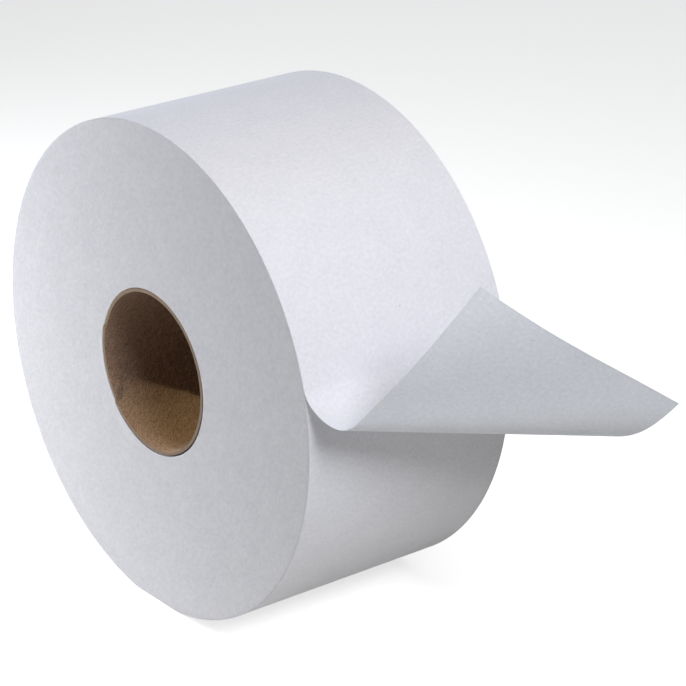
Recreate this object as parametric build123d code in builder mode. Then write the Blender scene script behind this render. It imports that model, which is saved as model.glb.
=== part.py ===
from build123d import *
from math import acos, atan2, cos, degrees, hypot, radians, sin, sqrt
import os

# Toilet paper roll of the small jumbo kind, lying on its side, its loose end lifted and curled.
# The roll's axis is Y, through the middle of the core; the near end face is on -Y and +Z is up.
# The loose end leaves the roll on the +X side. All lengths are in millimetres, angles in degrees.

# The wound paper
roll_diameter = 187
roll_width = 90
sheet_thickness = 0.25
turn_play = 0.05
rim_bevel = 0.6
flat_depth = 0.9

# The cardboard core
core_diameter = 63.2
core_wall = 1.2

# Bands of turns on both end faces: every second one stands back a little
turn_bands = 5
band_step = 0.2
band_wander = 0.25

# The loose end. In the flat sheet all its bends fan out from one apex, which lies on the
# leaving line, out beyond the near end face. Each bend is a fan angle, from the leaving line,
# and how tight the bend is there: its radius is the distance from the apex over that number.
leaving_angle = 15
tail_length = 95.3
apex_reach = 49.5
bends = [(0, 7.1), (10, 2.4), (20, 2.6), (29, 7.5), (37, -1.0), (46, 1.2)]
tail_root = 0.5

# Worked out from the sizes above
roll_radius = roll_diameter / 2
core_radius = core_diameter / 2
bore_radius = core_radius - core_wall
half_width = roll_width / 2
under_radius = roll_radius - sheet_thickness - turn_play
sheet_radius = roll_radius - turn_play / 2
floor_drop = roll_radius - flat_depth
web = roll_radius - core_radius


def floor_angle(radius):
    """How far from straight down a circle of this radius meets the floor."""
    return degrees(acos(floor_drop / radius))


def band_edge(band):
    """Radius at which this band of turns begins. The wander makes the bands differ in width."""
    return core_radius + web * (band + band_wander * sin(band * band)) / turn_bands


def at_angle(radius, angle):
    """The point of the XZ plane at this radius and angle, from +X towards +Z."""
    return (radius * cos(radians(angle)), radius * sin(radians(angle)))


def tightness(angle):
    """How tight the sheet's bend is at this fan angle, changing evenly between the bends."""
    for (low, tight_low), (high, tight_high) in zip(bends, bends[1:]):
        if angle < high:
            return tight_low + (tight_high - tight_low) * (angle - low) / (high - low)
    return bends[-1][1]


def fan_line(angle):
    """The fan line at this angle: its direction from the apex, and the sheet's outward one there.

    The flat sheet is rolled on, a degree at a time, over narrow cones that stand on the apex.
    """
    line = Vector(0, 1, 0)
    outward = Vector(cos(radians(leaving_angle)), 0, sin(radians(leaving_angle)))
    rolled = 0
    while rolled < angle:
        step = min(1, angle - rolled)
        tight = tightness(rolled + step / 2)
        cone = Axis((0, 0, 0), outward + line * tight)
        turn = -step * hypot(1, tight)
        line, outward = line.rotate(cone, turn), outward.rotate(cone, turn)
        rolled += step
    return line, outward


def tail_point(across, along, depth):
    """A point of the tail, this far across from the near edge, along the sheet and below its top.

    Before the leaving line, where along is below zero, the sheet is still flat.
    """
    leaving_x, leaving_z = at_angle(sheet_radius, leaving_angle)
    apex = Vector(leaving_x, -half_width - apex_reach, leaving_z)
    from_apex = apex_reach + across
    line, outward = fan_line(degrees(atan2(max(along, 0), from_apex)))
    back_x, back_z = at_angle(min(along, 0), leaving_angle - 90)
    return apex + line * hypot(max(along, 0), from_apex) + Vector(back_x, 0, back_z) - outward * depth


def tail_face(depth):
    """The tail's face at this depth below its top, as one surface through a grid of points."""
    steps_across, steps_along = 12, 60
    step = (tail_root + tail_length) / steps_along
    rows = [[tail_point(roll_width * i / steps_across, step * j - tail_root, depth)
             for j in range(steps_along + 1)] for i in range(steps_across + 1)]
    return Face.make_surface_from_array_of_points(rows, tol=0.005)


# Cardboard core: a tube as long as the roll is wide, with the paper wound tight on it
with BuildPart() as core:
    with BuildSketch(Plane.XZ):
        Circle(core_radius)
        Circle(bore_radius, mode=Mode.SUBTRACT)
    extrude(amount=half_width, both=True)

# Wound paper: the outermost turn ends at the leaving line, a sheet's thickness above the turn
# below it, and the roll's weight presses a narrow flat into its lowest turns
with BuildPart() as tissue_roll:
    with BuildSketch(Plane.XZ):
        with BuildLine():
            over = CenterArc((0, 0), roll_radius, leaving_angle,
                             270 - floor_angle(roll_radius) - leaving_angle)
            under = CenterArc((0, 0), under_radius, floor_angle(under_radius) - 90,
                              leaving_angle + 90 - floor_angle(under_radius))
            Line(over @ 1, under @ 0)
            Line(under @ 1, over @ 0)
        make_face()
        Circle(core_radius, mode=Mode.SUBTRACT)
    extrude(amount=half_width, both=True)

    # Soft rims, and the bands of turns that stand back
    with BuildSketch(Plane.XY):
        for face in (-half_width, half_width):
            with Locations((roll_radius, face)):
                Rectangle(rim_bevel * sqrt(2), rim_bevel * sqrt(2), rotation=45)
            for band in range(1, turn_bands, 2):
                inside, outside = band_edge(band), band_edge(band + 1)
                with Locations(((inside + outside) / 2, face)):
                    Rectangle(outside - inside, 2 * band_step)
    revolve(axis=Axis.Y, mode=Mode.SUBTRACT)

    # Loose end of the web, on the same sheet as the outermost turn
    top, underside = tail_face(0), tail_face(sheet_thickness)
    edges = [Face.make_surface_from_curves(*pair) for pair in zip(top.edges(), underside.edges())]
    add(Solid(Shell([top, underside] + edges)))

os.makedirs("parts", exist_ok=True)
core.part.label = "core"
tissue_roll.part.label = "tissue_roll"
export_step(core.part, "parts/core.step")
export_step(tissue_roll.part, "parts/tissue_roll.step")
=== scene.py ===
import random
from math import atan2, cos, degrees, hypot, pi, radians, sin, tan

import bmesh
import bpy
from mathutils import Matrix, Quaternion, Vector, noise


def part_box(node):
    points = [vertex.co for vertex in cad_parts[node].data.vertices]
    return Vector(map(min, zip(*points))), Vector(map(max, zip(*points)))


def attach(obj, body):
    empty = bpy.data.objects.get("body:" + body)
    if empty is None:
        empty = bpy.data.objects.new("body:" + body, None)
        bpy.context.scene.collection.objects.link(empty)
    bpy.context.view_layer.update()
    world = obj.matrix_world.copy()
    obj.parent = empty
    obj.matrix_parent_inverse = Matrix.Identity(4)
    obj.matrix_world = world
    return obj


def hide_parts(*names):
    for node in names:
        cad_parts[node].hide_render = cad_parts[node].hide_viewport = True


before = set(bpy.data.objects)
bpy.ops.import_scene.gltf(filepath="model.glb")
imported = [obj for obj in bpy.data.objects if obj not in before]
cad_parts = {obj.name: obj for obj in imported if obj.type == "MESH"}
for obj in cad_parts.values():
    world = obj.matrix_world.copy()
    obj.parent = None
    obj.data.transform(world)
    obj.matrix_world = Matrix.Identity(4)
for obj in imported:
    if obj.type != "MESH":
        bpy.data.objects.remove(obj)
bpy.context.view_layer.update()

# Cardboard core
# The tube that the web was wound on: three plies of brown kraft paper, glued and wound in a spiral,
# then cut square at both ends. Where a ply laps over its own edge, the wall steps outwards at the
# rims. Down on the right the tube stands clear of the web by a hair.
core_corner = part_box("core")[1]
core_radius = core_corner.x
half_width = core_corner.y
ply_thickness = 0.0004
ply_play = 0.00002
ply_count = 3
winding_angle = 35
joint_gap = 0.0003
wall_steps = [(163, 0.00065, 0, 57), (219, 0.0007, 100, 300)]
step_climb = 1.5
wall_sink = 0.00065
rim_reach = 0.008
clear_width, clear_angle = 0.0004, 310
rim_fray, fray_spacing = 0.00008, 4
cut_blend = 0.0002
sharp_bend = 35
ply_steps_around, ply_steps_along = 240, 60


def smooth_step(low, high, value):
    """0 below low, 1 above high, and a soft S between them."""
    share = min(max((value - low) / (high - low), 0), 1)
    return share * share * (3 - 2 * share)


def ply_turn(y):
    """How far a ply has turned back, in degrees, from the near rim to this place along the core."""
    return degrees((y + half_width) / (core_radius * tan(radians(winding_angle))))


def wall_shift(polar, y):
    """How far the core's wall stands out of true at this polar angle and place along the core.

    Each step has its polar angle at the near rim, its height, and the two angles past it between
    which it fades away. All of it fades with the distance from the rim.
    """
    shift = -wall_sink
    for angle, height, stays, ends in wall_steps:
        past = (polar - angle + ply_turn(y)) % 360
        shift += height * smooth_step(0, step_climb, past) * (1 - smooth_step(stays, ends, past))
    return shift * (1 - smooth_step(0, rim_reach, half_width - abs(y)))


def new_piece(name, mesh_maker, material, node):
    """A mesh object at the origin that rides on the roll's one body and stands for this node."""
    mesh = bpy.data.meshes.new(name)
    mesh_maker.to_mesh(mesh)
    mesh_maker.free()
    mesh.shade_smooth()
    mesh.set_sharp_from_angle(angle=radians(sharp_bend))
    mesh.materials.append(material)
    piece = bpy.data.objects.new(name, mesh)
    bpy.context.scene.collection.objects.link(piece)
    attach(piece, "root")
    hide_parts(node)
    return piece


def flat_grid(steps_x, steps_y):
    """A flat grid whose x and y both run from 0 to 1, with a UV layer named flat."""
    grid = bmesh.new()
    grid.loops.layers.uv.new("flat")
    bmesh.ops.create_grid(grid, x_segments=steps_x, y_segments=steps_y, size=0.5)
    bmesh.ops.translate(grid, verts=grid.verts, vec=(0.5, 0.5, 0))
    return grid


def set_flat_uv(grid, width, length):
    """Writes the flat sheet's own measures, in metres, to the UV layer of a flat grid."""
    flat = grid.loops.layers.uv["flat"]
    for face in grid.faces:
        for corner in face.loops:
            corner[flat].uv = (corner.vert.co.x * width, corner.vert.co.y * length)


def new_material(name):
    """An empty node material: its node tree, a Principled shader and a function that adds nodes."""
    material = bpy.data.materials.new(name)
    material.use_nodes = True
    tree = material.node_tree
    shader = tree.nodes["Principled BSDF"]

    def add(kind, **settings):
        node = tree.nodes.new(kind)
        for key, value in settings.items():
            if key in node.inputs:
                socket = node.inputs[key]
                if isinstance(value, bpy.types.NodeSocket):
                    tree.links.new(value, socket)
                else:
                    socket.default_value = value
            else:
                setattr(node, key, value)
        return node

    return material, tree, shader, add


def kraft(name, seed):
    """Brown kraft board: a coarse grain, fibres along the ply, dark flecks, and duller cut rims."""
    material, tree, shader, add = new_material(name)
    place = add("ShaderNodeTexCoord")
    along_ply = add("ShaderNodeMapping", Vector=place.outputs["UV"])
    along_ply.inputs["Location"].default_value = (seed, seed, 0)
    along_ply.inputs["Scale"].default_value = (1300, 420, 1)
    fibres = add("ShaderNodeTexNoise", Vector=along_ply.outputs["Vector"], Scale=1.0, Detail=5.0,
                 Roughness=0.6)
    grain = add("ShaderNodeTexNoise", Vector=place.outputs["Object"], Scale=1900.0, Detail=2.0)
    flecks = add("ShaderNodeTexNoise", Vector=place.outputs["Object"], Scale=900.0, Detail=2.0)
    clouds = add("ShaderNodeTexNoise", Vector=place.outputs["Object"], Scale=70.0, Detail=3.0)
    brown = add("ShaderNodeValToRGB", Fac=fibres.outputs["Fac"])
    brown.color_ramp.elements[0].position = 0.30
    brown.color_ramp.elements[0].color = (0.200, 0.128, 0.088, 1)
    brown.color_ramp.elements[1].position = 0.72
    brown.color_ramp.elements[1].color = (0.366, 0.250, 0.180, 1)
    fleck_share = add("ShaderNodeMapRange", Value=flecks.outputs["Fac"])
    fleck_share.inputs["From Min"].default_value = 0.58
    fleck_share.inputs["From Max"].default_value = 0.78
    fleck_share.inputs["To Max"].default_value = 0.5
    flecked = add("ShaderNodeMix", data_type="RGBA")
    grain_light = add("ShaderNodeMapRange", Value=grain.outputs["Fac"])
    grain_light.inputs["From Min"].default_value = 0.3
    grain_light.inputs["From Max"].default_value = 0.7
    grain_light.inputs["To Min"].default_value = 0.6
    grain_light.inputs["To Max"].default_value = 1.4
    grained = add("ShaderNodeMix", data_type="RGBA", blend_type="MULTIPLY")
    grained.inputs["Factor"].default_value = 1
    tree.links.new(brown.outputs["Color"], grained.inputs["A"])
    tree.links.new(grain_light.outputs["Result"], grained.inputs["B"])
    tree.links.new(fleck_share.outputs["Result"], flecked.inputs["Factor"])
    tree.links.new(grained.outputs["Result"], flecked.inputs["A"])
    flecked.inputs["B"].default_value = (0.10, 0.06, 0.035, 1)
    fuzz = add("ShaderNodeTexNoise", Vector=place.outputs["Object"], Scale=2500.0, Detail=3.0)
    cut_tone = add("ShaderNodeValToRGB", Fac=fuzz.outputs["Fac"])
    cut_tone.color_ramp.elements[0].color = (0.162, 0.123, 0.103, 1)
    cut_tone.color_ramp.elements[1].color = (0.255, 0.200, 0.172, 1)
    sides = add("ShaderNodeSeparateXYZ", Vector=place.outputs["Object"])
    from_middle = add("ShaderNodeMath", operation="ABSOLUTE", Value=sides.outputs["Y"])
    cut_share = add("ShaderNodeMapRange", Value=from_middle.outputs["Value"])
    cut_share.inputs["From Min"].default_value = half_width - cut_blend
    cut_share.inputs["From Max"].default_value = half_width - rim_fray
    edged = add("ShaderNodeMix", data_type="RGBA")
    tree.links.new(cut_share.outputs["Result"], edged.inputs["Factor"])
    tree.links.new(flecked.outputs["Result"], edged.inputs["A"])
    tree.links.new(cut_tone.outputs["Color"], edged.inputs["B"])
    tree.links.new(edged.outputs["Result"], shader.inputs["Base Color"])
    relief = add("ShaderNodeMath", operation="ADD")
    tree.links.new(fibres.outputs["Fac"], relief.inputs[0])
    tree.links.new(clouds.outputs["Fac"], relief.inputs[1])
    bump = add("ShaderNodeBump", Height=relief.outputs["Value"], Distance=0.00012, Strength=0.6)
    tree.links.new(bump.outputs["Normal"], shader.inputs["Normal"])
    shader.inputs["Roughness"].default_value = 0.85
    shader.inputs["Specular IOR Level"].default_value = 0.25
    return material


def wind_ply(name, number, start):
    """One ply: a flat strip wound round the core in a spiral, from its start angle at the near rim."""
    outer = core_radius - (ply_count - 1 - number) * ply_thickness - ply_play
    around = 1 - joint_gap / (2 * pi * outer)
    ply = flat_grid(ply_steps_around, ply_steps_along)
    set_flat_uv(ply, 2 * pi * outer * around, 2 * half_width)
    for vert in ply.verts:
        turned = 360 * around * vert.co.x
        place = Vector((turned / fray_spacing, number, round(vert.co.y)))
        fray = rim_fray * (1 + noise.noise(place)) / 2
        y = (half_width - fray) * (2 * vert.co.y - 1)
        polar = start - ply_turn(y) - turned
        radius = outer + wall_shift(polar, y)
        radius -= clear_width * max(0, cos(radians(polar - clear_angle)))
        vert.co = (radius * cos(radians(polar)), y, radius * sin(radians(polar)))
    bmesh.ops.recalc_face_normals(ply, faces=ply.faces)
    if ply.faces[0].normal.dot(Vector((1, 0, 1)) * ply.faces[0].calc_center_median()) < 0:
        bmesh.ops.reverse_faces(ply, faces=ply.faces)
    bmesh.ops.solidify(ply, geom=ply.faces, thickness=ply_thickness - ply_play)
    return new_piece(name, ply, kraft(name, number), "core")


core_plies = [wind_ply("core_inner_ply", 0, 128), wind_ply("core_middle_ply", 1, 20),
              wind_ply("core_outer_ply", 2, 250)]

# Wound web
# Some five hundred and fifty turns of soft two-ply tissue, wound tight and slit to one width.
# Turns and bands of turns stand a hair further in or out, the rims are a little crushed, and a
# narrow slit is left round the core.
roll_low, roll_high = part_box("tissue_roll")
roll_radius = roll_high.z
sheet_thickness = 0.00012
floor_level = roll_low.z
leaving_angle = 15
turn_past = 8
turn_play = 0.00001
turn_pitch = 1.15 * sheet_thickness
turn_rings = 120
ring_step = 0.000002
band_step, band_chance, band_ease = 0.00003, 0.15, 0.3
rim_round = 0.00005
rim_width = 0.0006
slit_width, slit_depth = 0.0003, 0.0006
hole_steps = 8
core_reach = 0.004
roll_steps = 256
merge_distance = 1e-7


def spiral_radius(turned):
    """The outside radius of the web at this many degrees back from where it leaves the roll."""
    return roll_radius - turn_pitch * turned / 360


def rest_on_floor(point, above):
    """Presses a point of the soft roll up to the floor's level, plus what lies under it."""
    point.z = max(point.z, floor_level + above)
    return point


def tissue(name, coordinate, crepe_scale, cool_shade_tone=None, cool_shade_blend=0):
    """Soft white tissue: cloudy formation, a fine mottle, crepe and a few grey flecks.

    Past 0 along its UV map, on the loose end, the cool shade tone makes it a little cooler: painted
    cool shade for the cooler light that falls there, not the sheet's own colour.
    """
    material, tree, shader, add = new_material(name)
    place = add("ShaderNodeTexCoord").outputs[coordinate]
    clouds = add("ShaderNodeTexNoise", Vector=place, Scale=90.0, Detail=4.0, Roughness=0.55)
    grain = add("ShaderNodeTexNoise", Vector=place, Scale=680.0, Detail=3.0, Roughness=0.6)
    stretched = add("ShaderNodeMapping", Vector=place)
    stretched.inputs["Scale"].default_value = crepe_scale
    crepe = add("ShaderNodeTexNoise", Vector=stretched.outputs["Vector"], Scale=1.0, Detail=2.0)
    specks = add("ShaderNodeTexNoise", Vector=place, Scale=420.0, Detail=1.0)
    white = add("ShaderNodeValToRGB", Fac=clouds.outputs["Fac"])
    white.color_ramp.elements[0].position = 0.3
    white.color_ramp.elements[0].color = (0.813, 0.813, 0.862, 1)
    white.color_ramp.elements[1].position = 0.7
    white.color_ramp.elements[1].color = (0.843, 0.841, 0.888, 1)
    mottle = add("ShaderNodeMapRange", Value=grain.outputs["Fac"])
    mottle.inputs["From Min"].default_value = 0.3
    mottle.inputs["From Max"].default_value = 0.7
    mottle.inputs["To Min"].default_value = 0.95
    mottle.inputs["To Max"].default_value = 1.05
    mottled = add("ShaderNodeMix", data_type="RGBA", blend_type="MULTIPLY")
    mottled.inputs["Factor"].default_value = 1
    tree.links.new(white.outputs["Color"], mottled.inputs["A"])
    tree.links.new(mottle.outputs["Result"], mottled.inputs["B"])
    speck_share = add("ShaderNodeMapRange", Value=specks.outputs["Fac"])
    speck_share.inputs["From Min"].default_value = 0.74
    speck_share.inputs["From Max"].default_value = 0.84
    speck_share.inputs["To Max"].default_value = 0.5
    specked = add("ShaderNodeMix", data_type="RGBA")
    tree.links.new(speck_share.outputs["Result"], specked.inputs["Factor"])
    tree.links.new(mottled.outputs["Result"], specked.inputs["A"])
    specked.inputs["B"].default_value = (0.50, 0.49, 0.48, 1)
    paper = specked.outputs["Result"]
    # Painted cool shade: the loose end's colour is made a little cooler, fading in past the leaving
    # line
    if cool_shade_tone:
        along = add("ShaderNodeSeparateXYZ", Vector=place).outputs["Y"]
        alone = add("ShaderNodeMapRange", Value=along)
        alone.inputs["From Max"].default_value = cool_shade_blend
        cooled = add("ShaderNodeMix", data_type="RGBA", blend_type="MULTIPLY")
        tree.links.new(alone.outputs["Result"], cooled.inputs["Factor"])
        tree.links.new(paper, cooled.inputs["A"])
        cooled.inputs["B"].default_value = cool_shade_tone
        paper = cooled.outputs["Result"]
    tree.links.new(paper, shader.inputs["Base Color"])
    relief = add("ShaderNodeMath", operation="ADD")
    tree.links.new(grain.outputs["Fac"], relief.inputs[0])
    tree.links.new(crepe.outputs["Fac"], relief.inputs[1])
    bump = add("ShaderNodeBump", Height=relief.outputs["Value"], Distance=0.00012, Strength=0.6)
    tree.links.new(bump.outputs["Normal"], shader.inputs["Normal"])
    shader.inputs["Roughness"].default_value = 0.95
    shader.inputs["Specular IOR Level"].default_value = 0.15
    shader.inputs["Sheen Weight"].default_value = 0.1
    shader.inputs["Sheen Roughness"].default_value = 0.6
    return material


def end_face_profile(side, seed):
    """The line of one end face from the core outwards, as radius and place along the axis.

    It starts a little way down the hole, where the hole's wall follows the core's out of true.
    """
    rings = random.Random(seed)
    inside = core_radius + ply_play
    outside = spiral_radius(0) - sheet_thickness
    line = [(inside, side * (half_width - rim_reach * step / hole_steps))
            for step in range(hole_steps, 0, -1)]
    line.append((inside, side * (half_width - slit_depth)))
    inside += slit_width
    band, aim = 0, 0
    for ring in range(turn_rings + 1):
        if rings.random() < band_chance:
            aim = rings.uniform(-1, 0)
        band += band_ease * (aim - band)
        radius = inside + (outside - inside) * ring / turn_rings
        back = band_step * band + ring_step * rings.uniform(-1, 0)
        back -= rim_round * smooth_step(outside - rim_width, outside, radius)
        line.append((radius, side * (half_width + back)))
    return line


profile = end_face_profile(-1, 4) + end_face_profile(1, 9)[::-1]
wound = bmesh.new()
corners = [wound.verts.new((radius, y, 0)) for radius, y in profile]
for near, far in zip(corners, corners[1:] + corners[:1]):
    wound.edges.new((near, far))
bmesh.ops.spin(wound, geom=wound.verts[:] + wound.edges[:], cent=(0, 0, 0), axis=(0, 1, 0),
               angle=2 * pi, steps=roll_steps, use_merge=True)
bmesh.ops.remove_doubles(wound, verts=wound.verts, dist=merge_distance)
bmesh.ops.recalc_face_normals(wound, faces=wound.faces)
for vert in wound.verts:
    radius = hypot(vert.co.x, vert.co.z)
    polar = degrees(atan2(vert.co.z, vert.co.x))
    turned = (polar - leaving_angle - turn_past) % 360 + turn_past
    near_core = 1 - smooth_step(core_radius, core_radius + core_reach, radius)
    near_rim = (radius - core_radius) / (roll_radius - core_radius)
    shift = wall_shift(polar, vert.co.y) * near_core
    shift += (spiral_radius(turned) - roll_radius - turn_play) * near_rim
    vert.co.x += shift * cos(radians(polar))
    vert.co.z += shift * sin(radians(polar))
    vert.co = rest_on_floor(vert.co, sheet_thickness)
wound_material = tissue("tissue_edges", "Object", (500, 500, 500))
wound_turns = new_piece("wound_turns", wound, wound_material, "tissue_roll")

# Outermost turn and loose end
# The last turn of the web and its end, which has come off the roll, hangs free and has curled
# back over itself. It is one sheet, bent but nowhere stretched, and its edges lie a hair within the
# wound turns' end faces.
tail_length = 0.0953
apex_reach = 0.0495
bends = [(0, 7.1), (10, 2.4), (20, 2.6), (29, 7.5), (37, -1.0), (46, 1.2)]
edge_inset = 0.0001
sheet_width = 2 * (half_width - edge_inset)
sheet_steps_across, sheet_steps_along = 80, 380
tail_share = 0.30
# Painted cool shade for the loose end, multiplied onto its colour and faded in over its first few
# centimetres
cool_shade_tone = (0.965, 0.99, 1, 1)
cool_shade_blend = 0.03


def tightness(angle):
    """How tight the sheet's bend is at this fan angle, changing evenly between the bends."""
    for (low, tight_low), (high, tight_high) in zip(bends, bends[1:]):
        if angle < high:
            return tight_low + (tight_high - tight_low) * (angle - low) / (high - low)
    return bends[-1][1]


def roll_fan(last_angle, step):
    """The fan lines from 0 to the last angle: each one's direction and the sheet's outward one."""
    line = Vector((0, 1, 0))
    outward = Vector((cos(radians(leaving_angle)), 0, sin(radians(leaving_angle))))
    fan = [(line.copy(), outward.copy())]
    for number in range(int(last_angle / step) + 2):
        tight = tightness((number + 0.5) * step)
        cone = Quaternion((outward + line * tight).normalized(), -radians(step) * hypot(1, tight))
        line = cone @ line
        outward = cone @ outward
        fan.append((line.copy(), outward.copy()))
    return fan


fan_end, fan_step = 70, 0.25
fan = roll_fan(fan_end, fan_step)


def loose_point(across, along):
    """A point of the loose end, this far across from the near edge and past the leaving line."""
    leaving = Vector((cos(radians(leaving_angle)), 0, sin(radians(leaving_angle)))) * roll_radius
    apex = leaving - Vector((0, half_width + apex_reach, 0))
    from_apex = apex_reach + across
    place = degrees(atan2(along, from_apex)) / fan_step
    before, after = fan[int(place)][0], fan[int(place) + 1][0]
    line = before.lerp(after, place - int(place)).normalized()
    return apex + line * hypot(along, from_apex)


def wound_point(across, back):
    """A point of the outermost turn, this far back along the web from the leaving line."""
    turned = degrees(back / roll_radius)
    radius = spiral_radius(turned)
    angle = radians(leaving_angle + turned)
    point = Vector((radius * cos(angle), across - half_width, radius * sin(angle)))
    return rest_on_floor(point, 0)


turn_length = roll_radius * radians(360 + turn_past)
web = flat_grid(sheet_steps_across, sheet_steps_along)
# The rows lie closer together towards both edges, and y is metres past the leaving line
for vert in web.verts:
    vert.co.x = (1 - cos(pi * vert.co.x)) / 2
    share = vert.co.y
    if share < tail_share:
        vert.co.y = tail_length * (1 - share / tail_share)
    else:
        vert.co.y = -turn_length * (share - tail_share) / (1 - tail_share)
set_flat_uv(web, sheet_width, 1)
for vert in web.verts:
    across, along = edge_inset + vert.co.x * sheet_width, vert.co.y
    vert.co = loose_point(across, along) if along > 0 else wound_point(across, -along)
bmesh.ops.recalc_face_normals(web, faces=web.faces)
web.faces.ensure_lookup_table()
top_face = max(web.faces, key=lambda face: face.calc_center_median().z)
if top_face.normal.z < 0:
    bmesh.ops.reverse_faces(web, faces=web.faces)
bmesh.ops.solidify(web, geom=web.faces, thickness=sheet_thickness)
web_material = tissue("tissue_face", "UV", (300, 1400, 1), cool_shade_tone, cool_shade_blend)
outer_turn = new_piece("outer_turn", web, web_material, "tissue_roll")

# Floor
# The plain pale table that the roll lies on. It glows a little, as a light table does, but only to
# look pale itself: its glow doesn't reach the roll.
floor_half = 8
floor_glow, glow_color = 0.7, (0.985, 0.99, 1, 1)
ground = bmesh.new()
bmesh.ops.create_grid(ground, x_segments=2, y_segments=2, size=floor_half)
bmesh.ops.translate(ground, verts=ground.verts, vec=(0, 0, floor_level))
floor_mesh = bpy.data.meshes.new("floor")
ground.to_mesh(floor_mesh)
ground.free()
floor = bpy.data.objects.new("floor", floor_mesh)
bpy.context.scene.collection.objects.link(floor)
floor_material, floor_tree, floor_shader, floor_add = new_material("floor_sweep")
floor_place = floor_add("ShaderNodeTexCoord").outputs["Object"]
floor_grain = floor_add("ShaderNodeTexNoise", Vector=floor_place, Scale=300.0, Detail=3.0)
floor_tone = floor_add("ShaderNodeValToRGB", Fac=floor_grain.outputs["Fac"])
floor_tone.color_ramp.elements[0].color = (0.84, 0.825, 0.77, 1)
floor_tone.color_ramp.elements[1].color = (0.88, 0.865, 0.81, 1)
floor_tree.links.new(floor_tone.outputs["Color"], floor_shader.inputs["Base Color"])
floor_shader.inputs["Roughness"].default_value = 0.9
floor_shader.inputs["Specular IOR Level"].default_value = 0.1
floor_shader.inputs["Emission Color"].default_value = glow_color
floor_shader.inputs["Emission Strength"].default_value = floor_glow
floor_mesh.materials.append(floor_material)

# Camera
# It stands to the right of the near end face and looks down a little, from over a metre away. Its
# angle, place and focal length were fitted to the roll's rims and sides in the photo.
camera_azimuth, camera_elevation = 51.773, 22.770
camera_place = Vector((0.82502, -0.60677, 0.42933))
focal_pixels, frame_pixels = 3000, 686
back = Vector((sin(radians(camera_azimuth)) * cos(radians(camera_elevation)),
               -cos(radians(camera_azimuth)) * cos(radians(camera_elevation)),
               sin(radians(camera_elevation))))
camera_data = bpy.data.cameras.new("camera")
camera_data.sensor_width = 36
camera_data.lens = camera_data.sensor_width * focal_pixels / frame_pixels
camera = bpy.data.objects.new("camera", camera_data)
bpy.context.scene.collection.objects.link(camera)
camera.location = camera_place
camera.rotation_euler = back.to_track_quat("Z", "Y").to_euler()
bpy.context.scene.camera = camera

# Studio light
# Lamps on the left and a large soft box on the right, as the photo's shadows show. The two close to
# the end face spare the outermost turn, which has its own lamp further off. A warm lamp reaches into
# the bore. A pale backdrop, seen past the floor's edge, gives next to no light.
surround_light, backdrop_light = 0.01, 0.78


def light_alone(source, *pieces):
    """Lets this lamp or glowing object light these objects and nothing else."""
    source.light_linking.receiver_collection = bpy.data.collections.new(source.name)
    for piece in pieces:
        source.light_linking.receiver_collection.objects.link(piece)


def soft_box(name, azimuth, elevation, distance, size, power, color=(1, 1, 1)):
    """A square lamp this many degrees round from the near end face and up, aimed at the roll.

    Its distance from the roll's middle and its size are in metres, its power in watts.
    """
    light_data = bpy.data.lights.new(name, "AREA")
    light_data.shape = "SQUARE"
    light_data.size = size
    light_data.energy = power
    light_data.color = color
    light = bpy.data.objects.new(name, light_data)
    bpy.context.scene.collection.objects.link(light)
    towards = Vector((sin(radians(azimuth)) * cos(radians(elevation)),
                      -cos(radians(azimuth)) * cos(radians(elevation)), sin(radians(elevation))))
    light.location = towards * distance
    light.rotation_euler = towards.to_track_quat("Z", "Y").to_euler()
    light.visible_camera = False
    return light


light_alone(soft_box("left_low", -77, 0, 0.31, 0.06, 0.34), wound_turns, floor, *core_plies)
light_alone(soft_box("left_front", -66, -4, 0.52, 0.15, 1.8), wound_turns, floor, *core_plies)
light_alone(soft_box("left_far", -75, 3, 0.9, 0.2, 3), outer_turn)
soft_box("left_high", -74, 29, 0.51, 0.15, 0.98, (0.9, 0.98, 1.12))
soft_box("right", 80, 40, 1.0, 0.35, 5.35, (0.98, 1, 1.04))
soft_box("right_near", 75, 60, 0.42, 0.1, 0.31, (1.04, 0.99, 0.95))
light_alone(soft_box("bore", -20, 41, 0.5, 0.02, 1.45, (1, 0.87, 0.52)), *core_plies)
light_alone(soft_box("bore_behind", 180, 15, 0.9, 0.3, 0.6), *core_plies)
light_alone(soft_box("behind", 180, 15, 0.9, 0.3, 3), wound_turns, outer_turn)
light_alone(floor, floor)
world = bpy.data.worlds.new("surround")
world.use_nodes = True
world_nodes, world_links = world.node_tree.nodes, world.node_tree.links
faint = world_nodes["Background"]
faint.inputs["Color"].default_value = (1, 1, 1, 1)
faint.inputs["Strength"].default_value = surround_light
backdrop = world_nodes.new("ShaderNodeBackground")
backdrop.inputs["Color"].default_value = glow_color
backdrop.inputs["Strength"].default_value = backdrop_light
seen_or_lit = world_nodes.new("ShaderNodeMixShader")
light_path = world_nodes.new("ShaderNodeLightPath")
world_links.new(light_path.outputs["Is Camera Ray"], seen_or_lit.inputs["Fac"])
world_links.new(faint.outputs["Background"], seen_or_lit.inputs[1])
world_links.new(backdrop.outputs["Background"], seen_or_lit.inputs[2])
world_links.new(seen_or_lit.outputs["Shader"], world_nodes["World Output"].inputs["Surface"])
bpy.context.scene.world = world
bpy.context.scene.view_settings.view_transform = "Standard"
